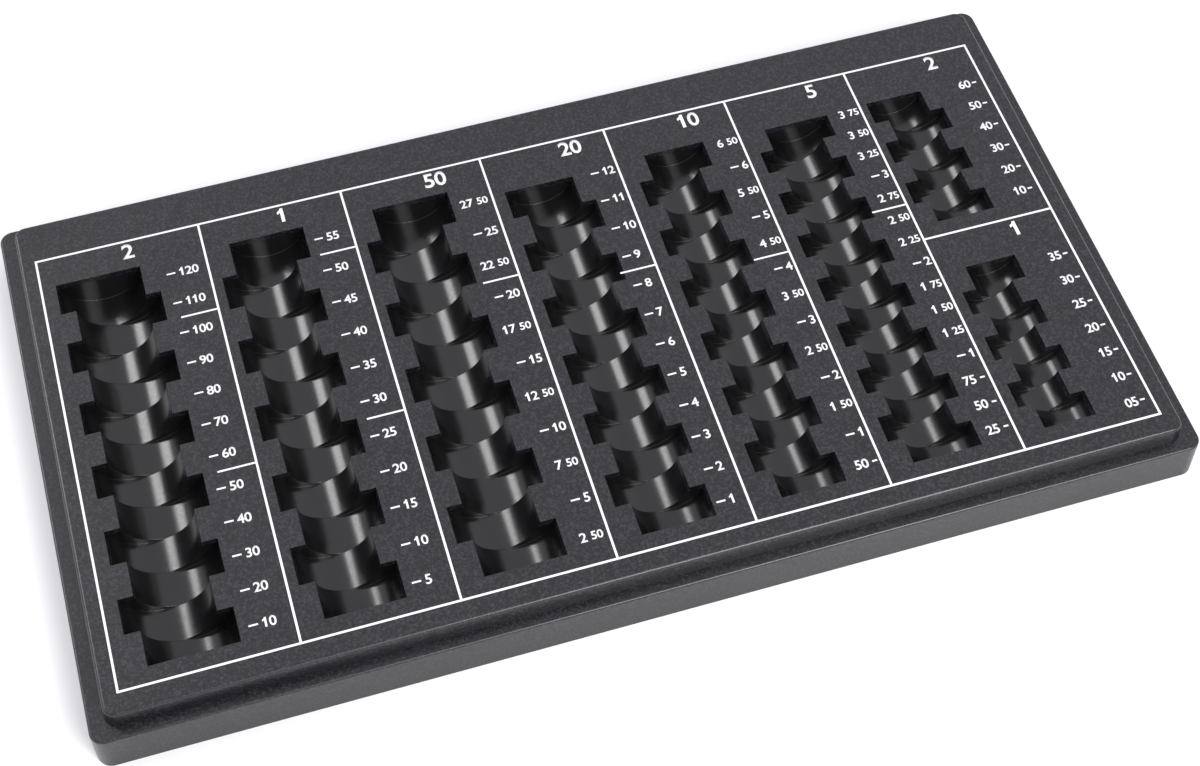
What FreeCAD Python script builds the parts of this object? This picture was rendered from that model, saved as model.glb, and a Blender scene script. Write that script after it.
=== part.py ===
import FreeCAD, Part
import math
import os

import Sketcher

# Manual coin counting tray: a raised printed plate on a ledge and skirt, with eight coin channels.
# Each channel is a row of half-round beds, and every bed holds one small stack of coins on edge.
# The beds step left and right by turns, so that a clerk counts whole stacks at a glance.
# Frame: X along the tray, Y from the front to the rear, Z up, origin under the tray's middle.

DOCUMENT = FreeCAD.newDocument("coin_tray")
SHEET = DOCUMENT.addObject("Spreadsheet::Sheet", "sizes")

# Driving lengths of the moulding, in millimetres
TRAY_LENGTHS = (
    ("side_margin", "5.6", "border line to the foot of the raised plate, left and right"),
    ("front_margin", "7.2", "border line to the foot of the raised plate, front"),
    ("rear_margin", "15.4", "border line to the foot of the raised plate, rear"),
    ("side_ledge_width", "5.2", "foot of the raised plate to the foot of the skirt, left and right"),
    ("end_ledge_width", "4.2", "foot of the raised plate to the foot of the skirt, front and rear"),
    ("platform_step", "5.8", "raised plate above the ledge"),
    ("skirt_height", "14.2", "ledge above the counter"),
    ("plate_wall", "2", "thickness of the raised plate"),
    ("riser_wall", "2", "thickness of the raised plate's side walls"),
    ("ledge_wall", "2", "thickness of the ledge"),
    ("skirt_wall", "2", "thickness of the skirt"),
    ("bed_wall", "1.5", "thickness of the coin beds"),
    ("platform_corner", "4", "corner radius of the raised plate at its foot"),
    ("tray_corner", "4.5", "corner radius of the skirt at its foot"),
    ("platform_round", "1", "rounding along the top of the raised plate"),
    ("ledge_round", "0.7", "rounding along the outside of the ledge"),
    ("stagger", "4.6", "sideways step from one bed to the next"),
    ("radial_play", "0.25", "room between a coin's rim and its bed"),
    ("front_land", "5.35", "printed line in front of a channel to the channel"),
    ("rear_land", "10.2", "longest channel to the rear border line"),
    ("shared_land", "13.69", "front channel of the shared column to the line across that column"),
)

# Lean of the walls, in degrees, and a share
TRAY_ANGLES = (
    ("riser_draft_angle", "6", "lean of the raised plate's side walls"),
    ("skirt_draft_angle", "1.8", "lean of the skirt"),
)
TRAY_SHARES = (
    ("least_corner_share", "0.25", "least inside corner radius, as a share of the outside one"),
)

# Printed columns from left to right, with the width of each and the place of its channels' axis in it
COLUMNS = ("two_euro", "one_euro", "fifty_cent", "twenty_cent", "ten_cent", "five_cent", "small_cents")
COLUMN_LENGTHS = (
    ("two_euro_width", "51", "column"),
    ("two_euro_axis", "19.9", "column's left line to the channel's axis"),
    ("one_euro_width", "45.8", "column"),
    ("one_euro_axis", "17.3", "column's left line to the channel's axis"),
    ("fifty_cent_width", "45.7", "column"),
    ("fifty_cent_axis", "17.9", "column's left line to the channel's axis"),
    ("twenty_cent_width", "41.6", "column"),
    ("twenty_cent_axis", "17.7", "column's left line to the channel's axis"),
    ("ten_cent_width", "41.2", "column"),
    ("ten_cent_axis", "17.1", "column's left line to the channel's axis"),
    ("five_cent_width", "41.7", "column"),
    ("five_cent_axis", "17.3", "column's left line to the channel's axis"),
    ("small_cents_width", "43", "column"),
    ("small_cents_axis", "14.3", "column's left line to the channels' axis"),
)

# Channels, and the two that share the last column, one behind the other
CHANNELS = (
    "two_euro",
    "one_euro",
    "fifty_cent",
    "twenty_cent",
    "ten_cent",
    "five_cent",
    "two_cent",
    "one_cent",
)
SHARED_COLUMN = "small_cents"
FRONT_OF_SHARED = "one_cent"
REAR_OF_SHARED = "two_cent"
CHANNEL_LENGTHS = (
    ("two_euro_diameter", "25.75", "coin"),
    ("two_euro_thickness", "2.2", "coin"),
    ("two_euro_spare", "0.36", "spare length in a bed"),
    ("two_euro_depth", "12", "plate's face to the bottom of a bed"),
    ("one_euro_diameter", "23.25", "coin"),
    ("one_euro_thickness", "2.33", "coin"),
    ("one_euro_spare", "0.78", "spare length in a bed"),
    ("one_euro_depth", "10.4", "plate's face to the bottom of a bed"),
    ("fifty_cent_diameter", "24.25", "coin"),
    ("fifty_cent_thickness", "2.38", "coin"),
    ("fifty_cent_spare", "0.55", "spare length in a bed"),
    ("fifty_cent_depth", "10.6", "plate's face to the bottom of a bed"),
    ("twenty_cent_diameter", "22.25", "coin"),
    ("twenty_cent_thickness", "2.14", "coin"),
    ("twenty_cent_spare", "0.25", "spare length in a bed"),
    ("twenty_cent_depth", "9.5", "plate's face to the bottom of a bed"),
    ("ten_cent_diameter", "19.75", "coin"),
    ("ten_cent_thickness", "1.93", "coin"),
    ("ten_cent_spare", "0.58", "spare length in a bed"),
    ("ten_cent_depth", "8.4", "plate's face to the bottom of a bed"),
    ("five_cent_diameter", "21.25", "coin"),
    ("five_cent_thickness", "1.67", "coin"),
    ("five_cent_spare", "0.44", "spare length in a bed"),
    ("five_cent_depth", "9.1", "plate's face to the bottom of a bed"),
    ("two_cent_diameter", "18.75", "coin"),
    ("two_cent_thickness", "1.67", "coin"),
    ("two_cent_spare", "0.34", "spare length in a bed"),
    ("two_cent_depth", "8.1", "plate's face to the bottom of a bed"),
    ("one_cent_diameter", "16.25", "coin"),
    ("one_cent_thickness", "1.67", "coin"),
    ("one_cent_spare", "0.43", "spare length in a bed"),
    ("one_cent_depth", "6.8", "plate's face to the bottom of a bed"),
)
COUNTS = (
    ("coin_count", "5", "coins in one bed"),
    ("two_euro_bed_count", "12", "beds in the channel"),
    ("one_euro_bed_count", "11", "beds in the channel"),
    ("fifty_cent_bed_count", "11", "beds in the channel"),
    ("twenty_cent_bed_count", "12", "beds in the channel"),
    ("ten_cent_bed_count", "13", "beds in the channel"),
    ("five_cent_bed_count", "15", "beds in the channel"),
    ("two_cent_bed_count", "6", "beds in the channel"),
    ("one_cent_bed_count", "7", "beds in the channel"),
)

# How far from flat an edge may lie and still count as flat, as a share of its level
LEVEL_SHARE = 0.001


def fill_sheet():
    """Writes the driving sizes and what follows from them, one alias to a row."""
    row = [0]

    def put(alias, value, note=""):
        row[0] += 1
        SHEET.set("A%d" % row[0], alias)
        SHEET.set("B%d" % row[0], value)
        SHEET.set("C%d" % row[0], note)
        SHEET.setAlias("B%d" % row[0], alias)

    for table in (TRAY_LENGTHS, TRAY_ANGLES, TRAY_SHARES, COLUMN_LENGTHS, CHANNEL_LENGTHS, COUNTS):
        for alias, value, note in table:
            put(alias, value, note)
    fill_channel_rows(put)
    fill_tray_rows(put)
    fill_place_rows(put)
    DOCUMENT.recompute()


def fill_channel_rows(put):
    """Works out each channel's bed from its coin."""
    for name in CHANNELS:
        put(name + "_pitch", "=coin_count * %s_thickness + %s_spare" % (name, name), "length of a bed")
        put(name + "_run", "=%s_bed_count * %s_pitch" % (name, name), "length of the channel")
        put(name + "_radius", "=%s_diameter / 2 + radial_play" % name, "bed")
        put(name + "_axle", "=%s_radius - %s_depth" % (name, name), "bed's centre line above the face")
        put(name + "_right_count", "=floor((%s_bed_count + 1) / 2)" % name, "beds that step to the right")
        put(name + "_left_count", "=floor(%s_bed_count / 2)" % name, "beds that step to the left")


def fill_tray_rows(put):
    """Works out the tray's outlines from its columns and channels."""
    line = "=0"
    for column in COLUMNS:
        put(column + "_offset", line, "left border line to the column's left line")
        line = "=%s_offset + %s_width" % (column, column)
    put("border_length", line, "printed border line, left to right")
    put("shared_line", "=front_land + %s_run + shared_land" % FRONT_OF_SHARED, "front border to line across")
    put("shared_reach", "=shared_line + front_land + %s_run" % REAR_OF_SHARED, "front border to rear end")
    reaches = ["front_land + %s_run" % name for name in CHANNELS if name != REAR_OF_SHARED]
    reaches.append("shared_reach")
    put("border_width", "=max(%s) + rear_land" % "; ".join(reaches), "printed border line, front to rear")
    put("platform_length", "=border_length + 2 * side_margin", "foot of the raised plate")
    put("platform_width", "=border_width + front_margin + rear_margin", "foot of the raised plate")
    put("tray_length", "=platform_length + 2 * side_ledge_width", "foot of the skirt")
    put("tray_width", "=platform_width + 2 * end_ledge_width", "foot of the skirt")
    put("tray_height", "=skirt_height + platform_step", "whole tray")
    put("seat_length", "=platform_length - 2 * riser_wall", "inside the raised plate's side walls")
    put("seat_width", "=platform_width - 2 * riser_wall", "inside the raised plate's side walls")
    put("least_seat_corner", "=least_corner_share * platform_corner", "inside radius, at least")
    put("seat_corner", "=max(platform_corner - riser_wall; least_seat_corner)", "inside radius")
    put("well_length", "=tray_length - 2 * skirt_wall", "inside the skirt")
    put("well_width", "=tray_width - 2 * skirt_wall", "inside the skirt")
    put("least_well_corner", "=least_corner_share * tray_corner", "inside radius, at least")
    put("well_corner", "=max(tray_corner - skirt_wall; least_well_corner)", "inside radius")


def fill_place_rows(put):
    """Works out each channel's place in the tray's frame."""
    put("border_left", "=-border_length / 2", "left border line")
    put("border_front", "=front_margin - platform_width / 2", "front border line")
    for name in CHANNELS:
        column = SHARED_COLUMN if name in (FRONT_OF_SHARED, REAR_OF_SHARED) else name
        setback = " + shared_line" if name == REAR_OF_SHARED else ""
        put(name + "_across", "=border_left + %s_offset + %s_axis" % (column, column), "channel's axis")
        put(name + "_start", "=border_front + front_land" + setback, "channel's front end")


def size(alias):
    """Gives a sheet value as a plain number."""
    return float(SHEET.get(alias))


def bind(thing, path, formula):
    """Ties a property to the sheet; @ stands for the sheet's name."""
    thing.setExpression(path, formula.replace("@", "sizes."))


def new_body(name):
    """Starts a named sub-part."""
    body = DOCUMENT.addObject("PartDesign::Body", name)
    body.Label = name
    body.AllowCompound = True
    return body


def origin_feature(body, role):
    """Finds one of a body's own origin planes or axes."""
    return [feature for feature in body.Origin.OriginFeatures if feature.Role == role][0]


def new_sketch(body, name, role, offset=None):
    """Lays a sketch on an origin plane of the body, moved along the plane's normal by a formula."""
    sketch = body.newObject("Sketcher::SketchObject", name)
    sketch.AttachmentSupport = (origin_feature(body, role), "")
    sketch.MapMode = "FlatFace"
    if offset:
        bind(sketch, "AttachmentOffset.Base.z", offset)
    return sketch


def dimension(sketch, label, kind, *where_and_formula):
    """Adds a dimension that follows a formula."""
    where = where_and_formula[:-2]
    value, formula = where_and_formula[-2:]
    index = sketch.addConstraint(Sketcher.Constraint(kind, *where, value))
    sketch.renameConstraint(index, label)
    bind(sketch, "Constraints." + label, formula)


def rounded_rectangle(sketch, name):
    """Draws a rectangle with round corners about the sketch's origin, from the sheet's NAME_ sizes."""
    half_x = size(name + "_length") / 2
    half_y = size(name + "_width") / 2
    corner = size(name + "_corner")
    in_x = half_x - corner
    in_y = half_y - corner
    quarter = math.pi / 2
    arcs = []
    for turn, (side_x, side_y) in enumerate(((1, 1), (-1, 1), (-1, -1), (1, -1))):
        centre = FreeCAD.Vector(side_x * in_x, side_y * in_y, 0)
        circle = Part.Circle(centre, FreeCAD.Vector(0, 0, 1), corner)
        arcs.append(sketch.addGeometry(Part.ArcOfCircle(circle, turn * quarter, (turn + 1) * quarter)))
    sides = (
        ((in_x, half_y), (-in_x, half_y)),
        ((-half_x, in_y), (-half_x, -in_y)),
        ((-in_x, -half_y), (in_x, -half_y)),
        ((half_x, -in_y), (half_x, in_y)),
    )
    lines = []
    for start, end in sides:
        lines.append(sketch.addGeometry(Part.LineSegment(FreeCAD.Vector(*start, 0), FreeCAD.Vector(*end, 0))))
    for arc, line, following in zip(arcs, lines, arcs[1:] + arcs[:1]):
        sketch.addConstraint(Sketcher.Constraint("Tangent", arc, 2, line, 1))
        sketch.addConstraint(Sketcher.Constraint("Tangent", line, 2, following, 1))
    for arc in arcs[1:]:
        sketch.addConstraint(Sketcher.Constraint("Equal", arcs[0], arc))
    rear, left, _, right = lines
    sketch.addConstraint(Sketcher.Constraint("Horizontal", rear))
    sketch.addConstraint(Sketcher.Constraint("Vertical", left))
    sketch.addConstraint(Sketcher.Constraint("Symmetric", arcs[0], 3, arcs[2], 3, -1, 1))
    dimension(sketch, "corner", "Radius", arcs[0], corner, "@%s_corner" % name)
    dimension(sketch, "half_length", "DistanceX", -1, 1, right, 1, half_x, "@%s_length / 2" % name)
    dimension(sketch, "half_width", "DistanceY", -1, 1, rear, 1, half_y, "@%s_width / 2" % name)


def extrude(body, kind, name, sketch, length, taper=None, reverse=False):
    """Pads or pockets a sketch by a formula's length."""
    feature = body.newObject("PartDesign::" + kind, name)
    feature.Profile = sketch
    feature.Type = "Length"
    bind(feature, "Length", length)
    if taper:
        bind(feature, "TaperAngle", taper)
    feature.Reversed = reverse
    sketch.Visibility = False
    DOCUMENT.recompute()
    body.Tip = feature
    return feature


def repeat_along(body, feature, name, count, spacing):
    """Repeats a feature towards the rear."""
    pattern = body.newObject("PartDesign::LinearPattern", name)
    pattern.Originals = [feature]
    pattern.Direction = (origin_feature(body, "Y_Axis"), [""])
    pattern.Mode = "Spacing"
    bind(pattern, "Offset", spacing)
    bind(pattern, "Occurrences", count)
    DOCUMENT.recompute()
    body.Tip = pattern
    return pattern


def round_top_edges(body, name, level, radius):
    """Rounds every edge of the body that lies flat at a level."""
    base = body.Tip
    nearly = level * LEVEL_SHARE
    edges = []
    for index, edge in enumerate(base.Shape.Edges):
        box = edge.BoundBox
        if abs(box.ZMin - level) < nearly and abs(box.ZMax - level) < nearly:
            edges.append("Edge%d" % (index + 1))
    fillet = body.newObject("PartDesign::Fillet", name)
    fillet.Base = (base, edges)
    bind(fillet, "Radius", radius)
    DOCUMENT.recompute()
    body.Tip = fillet
    return fillet


def beds(name):
    """The space of a channel's coin stacks: round beds that step right and left by turns."""
    body = new_body("beds_" + name)
    radius = size(name + "_radius")
    level = size(name + "_axle")
    pitch = "@%s_pitch" % name
    for side, word, sign, front in ((1, "right", "", None), (-1, "left", "-", "-" + pitch)):
        label = "%s_bed_%s" % (name, word)
        sketch = new_sketch(body, label + "_section", "XZ_Plane", front)
        centre = FreeCAD.Vector(side * size("stagger") / 2, level, 0)
        sketch.addGeometry(Part.Circle(centre, FreeCAD.Vector(0, 0, 1), radius))
        dimension(sketch, "bed_radius", "Radius", 0, radius, "@%s_radius" % name)
        dimension(sketch, "bed_across", "DistanceX", -1, 1, 0, 3, centre.x, sign + "@stagger / 2")
        dimension(sketch, "bed_level", "DistanceY", -1, 1, 0, 3, level, "@%s_axle" % name)
        pad = extrude(body, "Pad", label, sketch, pitch, None, True)
        repeat_along(body, pad, label + "s", "@%s_%s_count" % (name, word), "2 * " + pitch)
    place_channel(body, name)
    return body


def place_channel(body, name):
    """Puts a channel's body at its front end, on its axis, at the plate's face."""
    bind(body, "Placement.Base.x", "@%s_across" % name)
    bind(body, "Placement.Base.y", "@%s_start" % name)
    bind(body, "Placement.Base.z", "@tray_height")


def cut_out(label, base, tool):
    """Takes a tool away from a blank; the result is a sub-part."""
    cut = DOCUMENT.addObject("Part::Cut", label)
    cut.Label = label
    cut.Base = base
    cut.Tool = tool
    cut.Refine = True
    DOCUMENT.recompute()
    return cut


def face_plate(all_beds):
    """The raised plate with its side walls, and the zigzag window of every channel."""
    body = new_body("plate_blank")
    outline = new_sketch(body, "plate_outline", "XY_Plane")
    rounded_rectangle(outline, "platform")
    extrude(body, "Pad", "plate_block", outline, "@platform_step", "-@riser_draft_angle")
    inside = new_sketch(body, "plate_inside", "XY_Plane")
    rounded_rectangle(inside, "seat")
    hollow = "@platform_step - @plate_wall"
    extrude(body, "Pocket", "plate_hollow", inside, hollow, "-@riser_draft_angle", True)
    round_top_edges(body, "plate_rounding", size("platform_step"), "@platform_round")
    bind(body, "Placement.Base.z", "@skirt_height")
    windows = DOCUMENT.addObject("Part::Compound", "windows")
    windows.Links = all_beds
    return cut_out("face_plate", body, windows)


def outer_rim():
    """The ledge that carries the raised plate, and the skirt down to the counter."""
    body = new_body("outer_rim")
    outline = new_sketch(body, "rim_outline", "XY_Plane")
    rounded_rectangle(outline, "tray")
    extrude(body, "Pad", "rim_block", outline, "@skirt_height", "-@skirt_draft_angle")
    well = new_sketch(body, "rim_inside", "XY_Plane")
    rounded_rectangle(well, "well")
    extrude(body, "Pocket", "rim_well", well, "@skirt_height - @ledge_wall", "-@skirt_draft_angle", True)
    round_top_edges(body, "ledge_rounding", size("skirt_height"), "@ledge_round")
    window = new_sketch(body, "rim_window", "XY_Plane")
    rounded_rectangle(window, "seat")
    extrude(body, "Pocket", "rim_opening", window, "@skirt_height", None, True)
    return body


def shell_section(body, label, name, side, front):
    """Draws the outside of a channel's beds, from the plate's underside down."""
    sketch = new_sketch(body, label, "XZ_Plane", front)
    centre_x = side * size("stagger") / 2
    centre_y = size(name + "_axle")
    radius = size(name + "_radius") + size("bed_wall")
    top = -size("plate_wall")
    half = (radius ** 2 - (centre_y - top) ** 2) ** 0.5
    left = FreeCAD.Vector(centre_x - half, top, 0)
    right = FreeCAD.Vector(centre_x + half, top, 0)
    lowest = FreeCAD.Vector(centre_x, centre_y - radius, 0)
    sketch.addGeometry(Part.Arc(left, lowest, right))
    sketch.addGeometry(Part.LineSegment(right, left))
    sketch.addConstraint(Sketcher.Constraint("Coincident", 0, 2, 1, 1))
    sketch.addConstraint(Sketcher.Constraint("Coincident", 0, 1, 1, 2))
    sketch.addConstraint(Sketcher.Constraint("Horizontal", 1))
    dimension(sketch, "shell_radius", "Radius", 0, radius, "@%s_radius + @bed_wall" % name)
    shift = "%s @stagger / 2" % ("" if side > 0 else "-")
    dimension(sketch, "shell_across", "DistanceX", -1, 1, 0, 3, centre_x, shift)
    dimension(sketch, "shell_level", "DistanceY", -1, 1, 0, 3, centre_y, "@%s_axle" % name)
    dimension(sketch, "shell_top", "DistanceY", 1, 1, -1, 1, -top, "@plate_wall")
    return sketch


def channel(name, coin_beds):
    """One coin channel below the plate: a zigzag shell of half-round beds with a wall all round."""
    body = new_body("shell_" + name)
    pitch = "@%s_pitch" % name
    for side, word, front in ((1, "right", "@bed_wall"), (-1, "left", "@bed_wall - " + pitch)):
        label = "%s_shell_%s" % (name, word)
        sketch = shell_section(body, label + "_section", name, side, front)
        pad = extrude(body, "Pad", label, sketch, pitch + " + 2 * @bed_wall", None, True)
        repeat_along(body, pad, label + "s", "@%s_%s_count" % (name, word), "2 * " + pitch)
    place_channel(body, name)
    return cut_out("channel_" + name, body, coin_beds)


def check_document(bodies):
    """Stops if any feature failed, or a sub-part isn't one valid solid."""
    for thing in DOCUMENT.Objects:
        if "Invalid" in thing.State or "Error" in thing.State:
            raise RuntimeError("%s failed: %s" % (thing.Name, thing.State))
    for body in bodies:
        shape = body.Shape
        if shape.isNull() or not shape.isValid() or len(shape.Solids) != 1:
            raise RuntimeError("%s is not one valid solid: %d" % (body.Label, len(shape.Solids)))


def main():
    """Builds every sub-part, checks it and writes it."""
    fill_sheet()
    all_beds = {name: beds(name) for name in CHANNELS}
    bodies = [outer_rim(), face_plate(list(all_beds.values()))]
    for name, coin_beds in all_beds.items():
        bodies.append(channel(name, coin_beds))
    DOCUMENT.recompute()
    check_document(bodies)
    os.makedirs("parts", exist_ok=True)
    for body in bodies:
        body.Shape.exportStep("parts/%s.step" % body.Label)
        print(body.Label, body.Shape.BoundBox)


main()
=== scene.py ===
"""Looks of a manual coin counting tray: its plastics, its white print, a pale table and the lights."""

import math

import bmesh
import bpy
from mathutils import Matrix, Vector

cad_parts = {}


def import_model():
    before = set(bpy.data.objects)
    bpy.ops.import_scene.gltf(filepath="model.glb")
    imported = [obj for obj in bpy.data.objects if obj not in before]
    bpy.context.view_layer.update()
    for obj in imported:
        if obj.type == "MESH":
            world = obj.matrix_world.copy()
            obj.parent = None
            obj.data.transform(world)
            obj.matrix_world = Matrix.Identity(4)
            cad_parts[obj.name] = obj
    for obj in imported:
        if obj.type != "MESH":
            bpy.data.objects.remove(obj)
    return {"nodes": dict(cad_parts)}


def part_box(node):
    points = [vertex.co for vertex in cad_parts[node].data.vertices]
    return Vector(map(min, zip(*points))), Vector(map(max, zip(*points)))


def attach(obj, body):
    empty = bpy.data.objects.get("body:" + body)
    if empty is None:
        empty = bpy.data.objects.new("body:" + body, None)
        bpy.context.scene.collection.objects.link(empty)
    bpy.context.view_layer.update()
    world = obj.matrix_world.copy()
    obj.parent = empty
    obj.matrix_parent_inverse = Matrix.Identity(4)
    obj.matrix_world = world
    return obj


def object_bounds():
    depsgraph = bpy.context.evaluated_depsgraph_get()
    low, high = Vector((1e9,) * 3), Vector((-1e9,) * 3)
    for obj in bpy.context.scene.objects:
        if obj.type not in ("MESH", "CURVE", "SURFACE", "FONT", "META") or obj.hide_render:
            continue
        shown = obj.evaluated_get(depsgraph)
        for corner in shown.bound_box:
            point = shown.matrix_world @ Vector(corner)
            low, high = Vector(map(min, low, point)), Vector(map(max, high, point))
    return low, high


MM = 0.001

# The print is laid out from the raised face's own edges, in mm.
SIDE_MARGIN = 5.6
FRONT_MARGIN = 7.2
REAR_MARGIN = 15.4
CROSS_LINE_FROM_FRONT = 80.5
LINE_WIDTH = 0.68
MARK_WIDTH = 0.6
MARK_LENGTH = 11.2
DASH_WIDTH = 0.55
DASH_LENGTH = 2.7
SHORT_DASH_LENGTH = 1.5
INK_THICKNESS = 0.035
# The ink's underside is sunk this far, so that it doesn't share the plastic's own plane.
INK_BITE = 0.01

# Rows of amounts are spaced evenly over this run, whatever the beds' own pitch is.
FIRST_ROW_FROM_FRONT = 9.3
LAST_ROW_FROM_REAR = 16.6
AMOUNT_HEIGHT = 3.0
SMALL_AMOUNT_HEIGHT = 2.6
HEADING_HEIGHT = 5.3
HEADING_FROM_REAR = 4.1
DASH_GAP = 1.0
SHORT_DASH_GAP = 1.35
NARROW_SHORT_DASH_GAP = 0.7
CENTS_GAP = 1.25
COINS_IN_BED = 5
CENTS_IN_UNIT = 100

# One digit of the built-in font, as shares of its em.
DIGIT_TALL = 0.682
DIGIT_STEP = 0.47
DIGIT_BOLDER = 0.018
DIGIT_CURVE_STEPS = 3
# The built-in font's own 1 is a bare stem, so this one has a flag.
FLAGGED_ONE = [
    (0.33, 0.0),
    (0.33, 0.70),
    (0.22, 0.70),
    (0.17, 0.60),
    (0.07, 0.54),
    (0.07, 0.42),
    (0.19, 0.48),
    (0.19, 0.0),
]

# Column by column from the left: width, coin in cents, beds, beds that fill one paper roll,
# and the place of the heading's middle from the column's left line.
COLUMNS = {
    "two_euro": (51.0, 200, 12, 5, 28.0),
    "one_euro": (45.8, 100, 11, 5, 26.0),
    "fifty_cent": (45.7, 50, 11, 8, 29.8),
    "twenty_cent": (41.6, 20, 12, 8, 29.1),
    "ten_cent": (41.2, 10, 13, 8, 27.4),
    "five_cent": (41.7, 5, 15, 10, 28.7),
}
SHARED_HEADING_FROM_LEFT = 29.1
# Amounts start this far left of the column's right line, or end this far left of it.
AMOUNT_STARTS = {"two_euro": 12.9, "one_euro": 12.0, "twenty_cent": 9.1}
AMOUNT_ENDS = {"fifty_cent": 1.7, "ten_cent": 1.0, "five_cent": 0.9, "two_cent": 2.4, "one_cent": 2.2}
# Amounts under one unit end a little earlier in this column.
CENTS_ALONE_ENDS = {"five_cent": 1.5}
# The last column holds two short rows of beds: coin in cents, beds,
# and the places of the first and last amount from the front line.
SHARED_COLUMN = {
    "one_cent": (1, 7, 6.2, 62.8),
    "two_cent": (2, 6, 90.0, 136.4),
}

# The camera as fitted to the corners of the printed lines.
CAMERA_PLACE = Vector((-98.03, -354.67, 544.46)) * MM
CAMERA_AIM = Vector((-0.20, -21.85, 20.0)) * MM
CAMERA_ROLL = math.radians(-0.437)
CAMERA_LENS = 63.19
CAMERA_SENSOR = 36.0
CAMERA_NEAREST = 0.01
# The table reaches this far from the tray's middle, in metres.
TABLE_REACH = 3.0
SKY_STRENGTH = 1.04


def linear(hex_colour):
    """An sRGB hex colour as the linear red, green, blue and alpha that shaders take."""
    channels = [int(hex_colour[i : i + 2], 16) / 255 for i in (1, 3, 5)]
    return [c / 12.92 if c <= 0.04045 else ((c + 0.055) / 1.055) ** 2.4 for c in channels] + [1.0]


def add_node(tree, kind, settings=None, **links):
    """A new node with its settings, its inputs' values and its links.

    An input is named by its socket, or by number as i0, i1.
    """
    node = tree.nodes.new(kind)
    for name, value in (settings or {}).items():
        setattr(node, name, value)
    for name, value in links.items():
        if name[0] == "i" and name[1:].isdigit():
            socket = node.inputs[int(name[1:])]
        else:
            socket = node.inputs[name.replace("_", " ")]
        if isinstance(value, bpy.types.NodeSocket):
            tree.links.new(value, socket)
        else:
            socket.default_value = value
    return node


def new_material(name):
    material = bpy.data.materials.new(name)
    material.use_nodes = True
    material.node_tree.nodes.clear()
    return material, material.node_tree


def finish_material(tree, shader):
    add_node(tree, "ShaderNodeOutputMaterial", Surface=shader.outputs["BSDF"])


def millimetres(tree, along=(1.0, 1.0, 1.0)):
    """Object coordinates in mm, each axis multiplied by its factor."""
    place = add_node(tree, "ShaderNodeTexCoord")
    scale = [factor / MM for factor in along]
    return add_node(tree, "ShaderNodeMapping", Vector=place.outputs["Object"], Scale=scale).outputs["Vector"]


def spark_textured_abs():
    """ABS moulded against a spark-eroded tool: a fine matt grain that greys the black under a bright sky,
    with lighter specks painted into its colour as glints.
    """
    material, tree = new_material("spark_textured_abs")
    place = millimetres(tree)
    # The real grain is about 0.1 mm; it is drawn at 0.7 mm so that it shows at all.
    grain_size = 0.7
    grain_height = 0.02
    blotch_size = 24
    noise = add_node(
        tree,
        "ShaderNodeTexNoise",
        Vector=place,
        Scale=1 / grain_size,
        Detail=2.0,
        Roughness=0.6,
    )
    grain_and_glints = add_node(tree, "ShaderNodeMapRange", Value=noise.outputs["Fac"], From_Min=0.45, From_Max=0.72)
    blotches = add_node(
        tree,
        "ShaderNodeTexNoise",
        Vector=place,
        Scale=1 / blotch_size,
        Detail=2.0,
        Roughness=0.5,
    )
    # The colour's lighter specks are partly the plastic's own mottle and partly painted glints of the
    # spark-eroded texture.
    colour = add_node(
        tree,
        "ShaderNodeMix",
        {"data_type": "RGBA"},
        i0=grain_and_glints.outputs["Result"],
        i6=linear("#040406"),
        i7=linear("#2d2c33"),
    )
    gloss = add_node(
        tree,
        "ShaderNodeMapRange",
        Value=blotches.outputs["Fac"],
        From_Min=0.3,
        From_Max=0.7,
        To_Min=0.29,
        To_Max=0.35,
    )
    bump = add_node(
        tree,
        "ShaderNodeBump",
        Height=grain_and_glints.outputs["Result"],
        Strength=0.4,
        Distance=grain_height * MM,
    )
    shader = add_node(
        tree,
        "ShaderNodeBsdfPrincipled",
        Base_Color=colour.outputs[2],
        Roughness=gloss.outputs["Result"],
        Normal=bump.outputs["Normal"],
        IOR=1.54,
    )
    finish_material(tree, shader)
    return material


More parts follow.
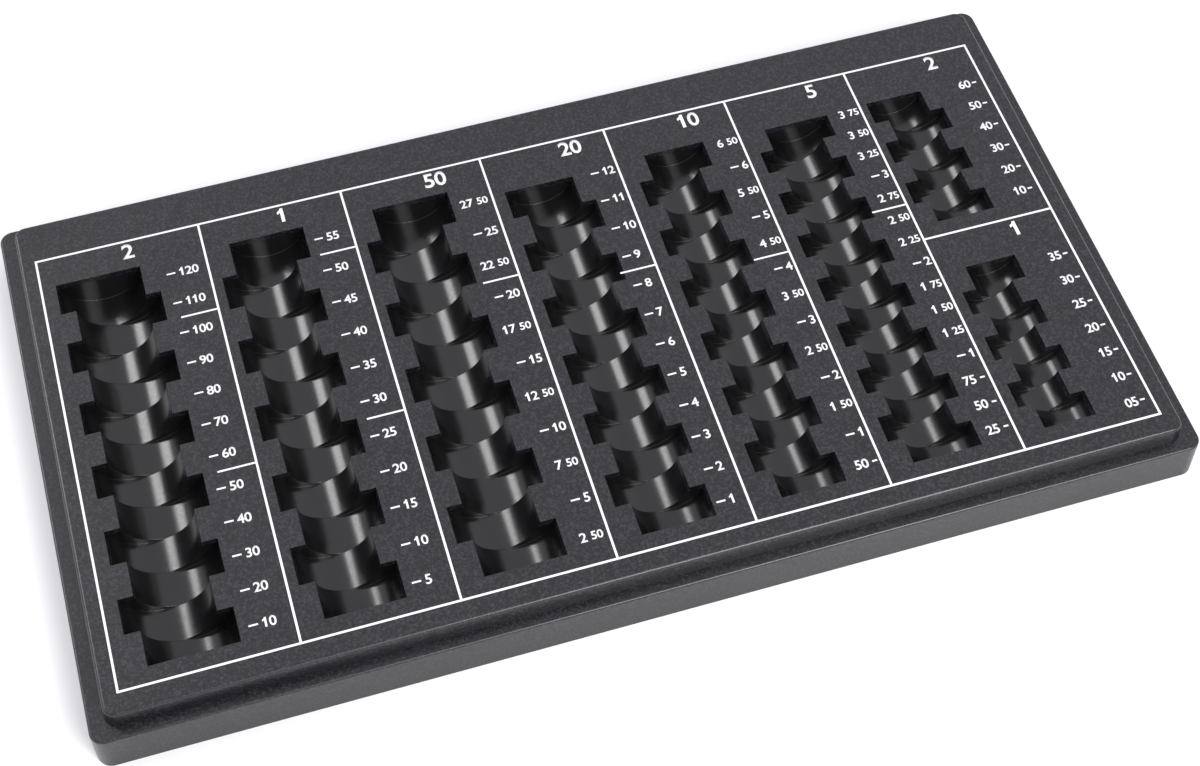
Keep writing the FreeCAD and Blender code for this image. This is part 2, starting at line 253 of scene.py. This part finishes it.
def polished_abs():
    """ABS moulded against a polished tool: a satin gloss, with fine draw lines down into each bed."""
    material, tree = new_material("polished_abs")
    # Real draw lines are finer still; they are drawn 0.7 mm apart so that they show, and run downwards.
    line_spacing = 0.7
    line_height = 0.02
    blotch_size = 9
    ridge_rounding = 0.35
    rounded_up_to = 17.2
    sharp_from = 17.5
    place = millimetres(tree)
    lines = millimetres(tree, along=(1.0, 1.0, 0.05))
    draw = add_node(
        tree,
        "ShaderNodeTexNoise",
        Vector=lines,
        Scale=1 / line_spacing,
        Detail=2.0,
        Roughness=0.5,
    )
    blotches = add_node(
        tree,
        "ShaderNodeTexNoise",
        Vector=place,
        Scale=1 / blotch_size,
        Detail=2.0,
        Roughness=0.5,
    )
    colour = add_node(
        tree,
        "ShaderNodeMix",
        {"data_type": "RGBA"},
        i0=blotches.outputs["Fac"],
        i6=linear("#0b0b0c"),
        i7=linear("#101011"),
    )
    gloss = add_node(
        tree,
        "ShaderNodeMapRange",
        Value=draw.outputs["Fac"],
        From_Min=0.3,
        From_Max=0.7,
        To_Min=0.17,
        To_Max=0.24,
    )
    # The ridges between beds are a little rounded; the joint with the plate above them is not.
    rounded = add_node(tree, "ShaderNodeBevel", {"samples": 6}, Radius=ridge_rounding * MM)
    height = add_node(tree, "ShaderNodeSeparateXYZ", Vector=place).outputs["Z"]
    joint = add_node(tree, "ShaderNodeMapRange", Value=height, From_Min=rounded_up_to, From_Max=sharp_from)
    edge = add_node(
        tree,
        "ShaderNodeMix",
        {"data_type": "VECTOR"},
        i0=joint.outputs["Result"],
        i4=rounded.outputs["Normal"],
        i5=add_node(tree, "ShaderNodeNewGeometry").outputs["Normal"],
    )
    bump = add_node(
        tree,
        "ShaderNodeBump",
        Height=draw.outputs["Fac"],
        Strength=0.25,
        Distance=line_height * MM,
        Normal=edge.outputs[1],
    )
    shader = add_node(
        tree,
        "ShaderNodeBsdfPrincipled",
        Base_Color=colour.outputs[2],
        Roughness=gloss.outputs["Result"],
        Normal=bump.outputs["Normal"],
        IOR=1.54,
    )
    finish_material(tree, shader)
    return material


def screen_printed_ink():
    """White screen ink: flat, opaque and slightly uneven where the mesh left less of it."""
    material, tree = new_material("screen_printed_ink")
    # The real mesh is about 0.1 mm; its unevenness is drawn at 0.5 mm so that it shows.
    mesh_opening = 0.5
    place = millimetres(tree)
    cover = add_node(
        tree,
        "ShaderNodeTexNoise",
        Vector=place,
        Scale=1 / mesh_opening,
        Detail=2.0,
        Roughness=0.5,
    )
    colour = add_node(
        tree,
        "ShaderNodeMix",
        {"data_type": "RGBA"},
        i0=cover.outputs["Fac"],
        i6=linear("#cfcfd0"),
        i7=linear("#e2e2e2"),
    )
    shader = add_node(
        tree,
        "ShaderNodeBsdfPrincipled",
        Base_Color=colour.outputs[2],
        Roughness=0.45,
        IOR=1.5,
    )
    finish_material(tree, shader)
    return material


def painted_table():
    """Matt white paint on a smooth board: pale all over, a little uneven from brush to brush."""
    material, tree = new_material("painted_table")
    stroke_size = 180
    place = millimetres(tree)
    strokes = add_node(tree, "ShaderNodeTexNoise", Vector=place, Scale=1 / stroke_size, Detail=1.0)
    colour = add_node(
        tree,
        "ShaderNodeMix",
        {"data_type": "RGBA"},
        i0=strokes.outputs["Fac"],
        i6=linear("#e8e8e8"),
        i7=linear("#ebebeb"),
    )
    shader = add_node(
        tree,
        "ShaderNodeBsdfPrincipled",
        Base_Color=colour.outputs[2],
        Roughness=0.8,
        IOR=1.45,
    )
    finish_material(tree, shader)
    return material


def printed_bars_tree():
    """Geometry nodes that lay one flat bar of ink along each edge of the given mesh."""
    tree = bpy.data.node_groups.new("printed_bars", "GeometryNodeTree")
    face = tree.interface
    face.new_socket("Lines", in_out="INPUT", socket_type="NodeSocketGeometry")
    face.new_socket("Bar width", in_out="INPUT", socket_type="NodeSocketFloat")
    face.new_socket("Ink thickness", in_out="INPUT", socket_type="NodeSocketFloat")
    face.new_socket("Ink", in_out="INPUT", socket_type="NodeSocketMaterial")
    face.new_socket("Bars", in_out="OUTPUT", socket_type="NodeSocketGeometry")
    given = add_node(tree, "NodeGroupInput").outputs

    ends = add_node(tree, "GeometryNodeInputMeshEdgeVertices").outputs
    run = add_node(
        tree,
        "ShaderNodeVectorMath",
        {"operation": "SUBTRACT"},
        i0=ends["Position 2"],
        i1=ends["Position 1"],
    ).outputs["Vector"]
    kept = add_node(tree, "GeometryNodeCaptureAttribute", {"domain": "EDGE"}, Geometry=given["Lines"])
    kept.capture_items.new("VECTOR", "Run")
    tree.links.new(run, kept.inputs["Run"])
    middles = add_node(tree, "GeometryNodeMeshToPoints", {"mode": "EDGES"}, Mesh=kept.outputs["Geometry"])
    length = add_node(tree, "ShaderNodeVectorMath", {"operation": "LENGTH"}, i0=kept.outputs["Run"])
    turn = add_node(tree, "FunctionNodeAlignRotationToVector", {"axis": "X"}, Vector=kept.outputs["Run"])
    size = add_node(
        tree,
        "ShaderNodeCombineXYZ",
        X=length.outputs["Value"],
        Y=given["Bar width"],
        Z=given["Ink thickness"],
    )
    bar = add_node(tree, "GeometryNodeMeshCube", Size=(1.0, 1.0, 1.0))
    placed = add_node(
        tree,
        "GeometryNodeInstanceOnPoints",
        Points=middles.outputs["Points"],
        Instance=bar.outputs["Mesh"],
        Rotation=turn.outputs["Rotation"],
        Scale=size.outputs["Vector"],
    )
    solid = add_node(tree, "GeometryNodeRealizeInstances", Geometry=placed.outputs["Instances"])
    inked = add_node(
        tree,
        "GeometryNodeSetMaterial",
        Geometry=solid.outputs["Geometry"],
        Material=given["Ink"],
    )
    add_node(tree, "NodeGroupOutput", Bars=inked.outputs["Geometry"])
    return tree


def frozen(thing):
    """The object with its modifiers' result as its own plain mesh."""
    bpy.context.view_layer.update()
    evaluated = thing.evaluated_get(bpy.context.evaluated_depsgraph_get())
    mesh = bpy.data.meshes.new_from_object(evaluated)
    thing.modifiers.clear()
    thing.data = mesh
    return thing


def new_object(name, data):
    thing = bpy.data.objects.new(name, data)
    bpy.context.scene.collection.objects.link(thing)
    return thing


def printed(thing):
    """The piece as ink on the tray."""
    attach(thing, "root")
    return thing


def print_bars(name, tree, ink, width, level, lines):
    """A piece of print made of straight bars, one along each line, given as its two ends in mm."""
    mesh = bpy.data.meshes.new(name)
    height = level / MM + (INK_THICKNESS - INK_BITE) / 2
    points = [Vector((x, y, height)) * MM for line in lines for x, y in line]
    mesh.from_pydata(points, [(i, i + 1) for i in range(0, len(points), 2)], [])
    thing = new_object(name, mesh)
    modifier = thing.modifiers.new("bars", "NODES")
    modifier.node_group = tree
    values = {"Bar width": width * MM, "Ink thickness": (INK_THICKNESS + INK_BITE) * MM, "Ink": ink}
    for item in tree.interface.items_tree:
        if item.in_out == "INPUT" and item.name in values:
            modifier[item.identifier] = values[item.name]
    return printed(frozen(thing))


def digit_shapes():
    """Flat meshes of the ten digits from the built-in font, at a size of one em."""
    shapes = {}
    for digit in "0123456789":
        curve = bpy.data.curves.new("digit_" + digit, "FONT")
        curve.body = digit
        curve.size = 1.0
        curve.offset = DIGIT_BOLDER
        curve.resolution_u = DIGIT_CURVE_STEPS
        thing = new_object("digit_" + digit, curve)
        bpy.context.view_layer.update()
        evaluated = thing.evaluated_get(bpy.context.evaluated_depsgraph_get())
        shapes[digit] = bpy.data.meshes.new_from_object(evaluated)
        bpy.data.objects.remove(thing)
    one = bpy.data.meshes.new("digit_1")
    one.from_pydata([(x, y, 0.0) for x, y in FLAGGED_ONE], [], [tuple(range(len(FLAGGED_ONE)))])
    shapes["1"] = one
    return shapes


def number_width(text, height):
    return len(text) * DIGIT_STEP * height / DIGIT_TALL


def print_numbers(name, shapes, ink, level, numbers):
    """A piece of print made of numbers.

    Each is given as its text, its height, and the left end and middle of its line in mm.
    """
    sheet = bmesh.new()
    for text, height, left, middle in numbers:
        em = height / DIGIT_TALL
        for index, digit in enumerate(text):
            place = Vector((left + index * DIGIT_STEP * em, middle - height / 2, level / MM - INK_BITE)) * MM
            shape = shapes[digit].copy()
            shape.transform(Matrix.Translation(place) @ Matrix.Scale(em * MM, 4))
            sheet.from_mesh(shape)
            bpy.data.meshes.remove(shape)
    mesh = bpy.data.meshes.new(name)
    sheet.to_mesh(mesh)
    sheet.free()
    mesh.materials.clear()
    mesh.materials.append(ink)
    thing = new_object(name, mesh)
    thickness = thing.modifiers.new("thickness", "SOLIDIFY")
    thickness.thickness = (INK_THICKNESS + INK_BITE) * MM
    thickness.offset = 1.0
    return printed(frozen(thing))


def amount(cents, line, starts, ends, short_gap, middle):
    """The print of one amount as numbers and dashes, placed from the line on its right.

    Whole units have a dash before them, and cents alone a short dash after.
    """
    units, rest = divmod(cents, CENTS_IN_UNIT)
    if units and not rest:
        parts = [("-", DASH_LENGTH), (str(units), AMOUNT_HEIGHT)]
        gap = DASH_GAP
    elif units:
        parts = [(str(units), AMOUNT_HEIGHT), ("%02d" % rest, SMALL_AMOUNT_HEIGHT)]
        gap = CENTS_GAP
    else:
        parts = [("%02d" % rest, AMOUNT_HEIGHT), ("-", SHORT_DASH_LENGTH)]
        gap = short_gap
    widths = [size if text == "-" else number_width(text, size) for text, size in parts]
    left = line - starts if starts is not None else line - ends - sum(widths) - gap
    numbers = []
    dashes = []
    for (text, size), width in zip(parts, widths):
        if text == "-":
            dashes.append(((left, middle), (left + width, middle)))
        else:
            numbers.append((text, size, left, middle))
        left += width + gap
    return numbers, dashes


def heading(coin, centre, top):
    """The number over a row of beds, its coin's value in units or cents, centred below the top line."""
    text = str(coin // CENTS_IN_UNIT if coin >= CENTS_IN_UNIT else coin)
    left = centre - number_width(text, HEADING_HEIGHT) / 2
    return text, HEADING_HEIGHT, left, top - HEADING_FROM_REAR


def rows_between(first, last, count):
    return [first + (last - first) * row / (count - 1) for row in range(count)]


def lay_out_print(face):
    """Every line, mark, dash and number of the print, in mm."""
    low, high = (corner / MM for corner in face)
    left = low.x + SIDE_MARGIN
    right = high.x - SIDE_MARGIN
    front = low.y + FRONT_MARGIN
    rear = high.y - REAR_MARGIN
    half = LINE_WIDTH / 2
    lines = [
        ((left - half, front), (right + half, front)),
        ((left - half, rear), (right + half, rear)),
        ((left, front + half), (left, rear - half)),
        ((right, front + half), (right, rear - half)),
    ]
    marks = []
    dashes = []
    numbers = []
    headings = []
    line = left
    for name, (width, coin, beds, roll, heading_place) in COLUMNS.items():
        headings.append(heading(coin, line + heading_place, rear))
        line += width
        lines.append(((line, front + half), (line, rear - half)))
        rows = rows_between(front + FIRST_ROW_FROM_FRONT, rear - LAST_ROW_FROM_REAR, beds)
        for row, place in enumerate(rows):
            cents = (row + 1) * COINS_IN_BED * coin
            ends = AMOUNT_ENDS.get(name)
            if cents < CENTS_IN_UNIT:
                ends = CENTS_ALONE_ENDS.get(name, ends)
            starts = AMOUNT_STARTS.get(name)
            more_numbers, more_dashes = amount(cents, line, starts, ends, SHORT_DASH_GAP, place)
            numbers += more_numbers
            dashes += more_dashes
        for full in range(roll, beds, roll):
            place = (rows[full - 1] + rows[full]) / 2
            marks.append(((line - half - MARK_LENGTH, place), (line - half, place)))
    cross = front + CROSS_LINE_FROM_FRONT
    lines.append(((line + half, cross), (right - half, cross)))
    for name, (coin, beds, first, last) in SHARED_COLUMN.items():
        ends = AMOUNT_ENDS[name]
        for row, place in enumerate(rows_between(front + first, front + last, beds)):
            cents = (row + 1) * COINS_IN_BED * coin
            more_numbers, more_dashes = amount(cents, right, None, ends, NARROW_SHORT_DASH_GAP, place)
            numbers += more_numbers
            dashes += more_dashes
        top = rear if name == "two_cent" else cross
        headings.append(heading(coin, line + SHARED_HEADING_FROM_LEFT, top))
    return lines, marks, dashes, numbers, headings


def print_face(face, ink):
    lines, marks, dashes, numbers, headings = lay_out_print(face)
    level = face[1].z
    tree = printed_bars_tree()
    shapes = digit_shapes()
    print_bars("printed_lines", tree, ink, LINE_WIDTH, level, lines)
    print_bars("printed_roll_marks", tree, ink, MARK_WIDTH, level, marks)
    print_bars("printed_dashes", tree, ink, DASH_WIDTH, level, dashes)
    print_numbers("printed_amounts", shapes, ink, level, numbers)
    print_numbers("printed_headings", shapes, ink, level, headings)


def dress_tray(nodes):
    textured = spark_textured_abs()
    polished = polished_abs()
    for name, node in nodes.items():
        node.data.materials.clear()
        node.data.materials.append(polished if name.startswith("channel_") else textured)


def lay_table(level):
    mesh = bpy.data.meshes.new("table")
    signs = [(-1, -1), (1, -1), (1, 1), (-1, 1)]
    mesh.from_pydata([(x * TABLE_REACH, y * TABLE_REACH, level) for x, y in signs], [], [(0, 1, 2, 3)])
    mesh.materials.append(painted_table())
    table = new_object("table", mesh)


def add_light(name, direction, distance, size, power, target):
    """A soft light of the given width and height, seen from the target in the given direction."""
    lamp = bpy.data.lights.new(name, "AREA")
    lamp.shape = "RECTANGLE"
    lamp.size, lamp.size_y = size
    lamp.energy = power
    thing = new_object(name, lamp)
    towards = Vector(direction).normalized()
    thing.location = target + towards * distance
    thing.rotation_euler = towards.to_track_quat("Z", "Y").to_euler()


def light_studio(target):
    """A pale sky all round, a key light from the rear left, and a fill over the front edge."""
    world = bpy.data.worlds.new("studio")
    world.use_nodes = True
    background = world.node_tree.nodes["Background"]
    background.inputs["Color"].default_value = linear("#f9f8ff")
    background.inputs["Strength"].default_value = SKY_STRENGTH
    bpy.context.scene.world = world
    add_light(
        "key",
        direction=(-0.545, 0.535, 0.645),
        distance=1.4,
        size=(0.43, 0.43),
        power=5.2,
        target=target,
    )
    add_light(
        "fill",
        direction=(0.28, -0.68, 0.67),
        distance=1.0,
        size=(0.5, 0.5),
        power=9.0,
        target=target,
    )


def place_camera():
    camera = bpy.data.cameras.new("camera")
    camera.lens = CAMERA_LENS
    camera.sensor_width = CAMERA_SENSOR
    camera.clip_start = CAMERA_NEAREST
    thing = new_object("camera", camera)
    back = CAMERA_PLACE - CAMERA_AIM
    turned = back.to_track_quat("Z", "Y").to_matrix().to_4x4() @ Matrix.Rotation(CAMERA_ROLL, 4, "Z")
    thing.matrix_world = Matrix.Translation(CAMERA_PLACE) @ turned
    bpy.context.scene.camera = thing


def main():
    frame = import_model()
    cad_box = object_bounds()
    dress_tray(frame["nodes"])
    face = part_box("face_plate")
    print_face(face, screen_printed_ink())
    low, high = cad_box
    lay_table(low.z)
    light_studio((low + high) / 2)
    place_camera()
    bpy.context.scene.view_settings.view_transform = "Standard"


main()
